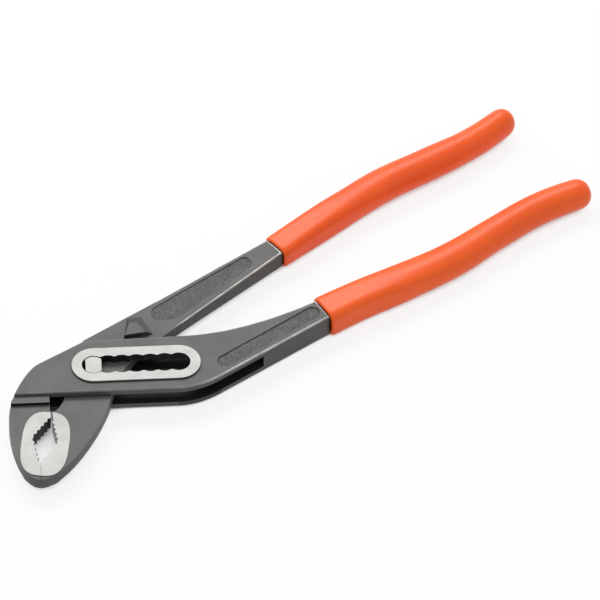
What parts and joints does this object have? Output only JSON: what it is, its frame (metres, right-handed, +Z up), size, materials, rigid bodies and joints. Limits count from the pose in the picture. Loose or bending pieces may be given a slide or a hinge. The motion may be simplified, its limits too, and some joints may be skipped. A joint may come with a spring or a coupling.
{
  "type": "adjustable pliers",
  "caption": "Adjustable through-joint pliers with a toothed slot, a flat-sided bolt that steps along it, hooked toothed jaws and dipped plastic grips.",
  "frame": {"origin": "middle of the underside of the tool, lying flat on one side", "axes": "+X from the jaws to the handle ends, +Y towards the inner lever's handle, +Z up through the thickness, along the bolt"},
  "size_m": [0.2502, 0.063, 0.0117],
  "materials": {
    "lever_steel": "satin grey phosphate",
    "ground_steel": "bright ground",
    "dipped_grip": "semi-gloss dipped"
  },
  "bodies": {
    "outer": {"outer_lever": "lever_steel", "outer_grip": "dipped_grip"},
    "slider": {"bolt_core_pin": "ground_steel"},
    "inner": {"inner_lever": "lever_steel", "pivot_bolt": "ground_steel", "inner_grip": "dipped_grip"}
  },
  "joints": [
    {"name": "slot_slide", "type": "slide", "parent": "outer", "child": "slider", "axis": [0.8652, -0.5015, 0], "range_m": [0, 0.0312]},
    {"name": "lever_hinge", "type": "hinge", "parent": "slider", "child": "inner", "pos_m": [-0.07773, 0.00373, 0.00585], "axis": [0, 0, 1], "range_deg": [0, 72]}
  ]
}
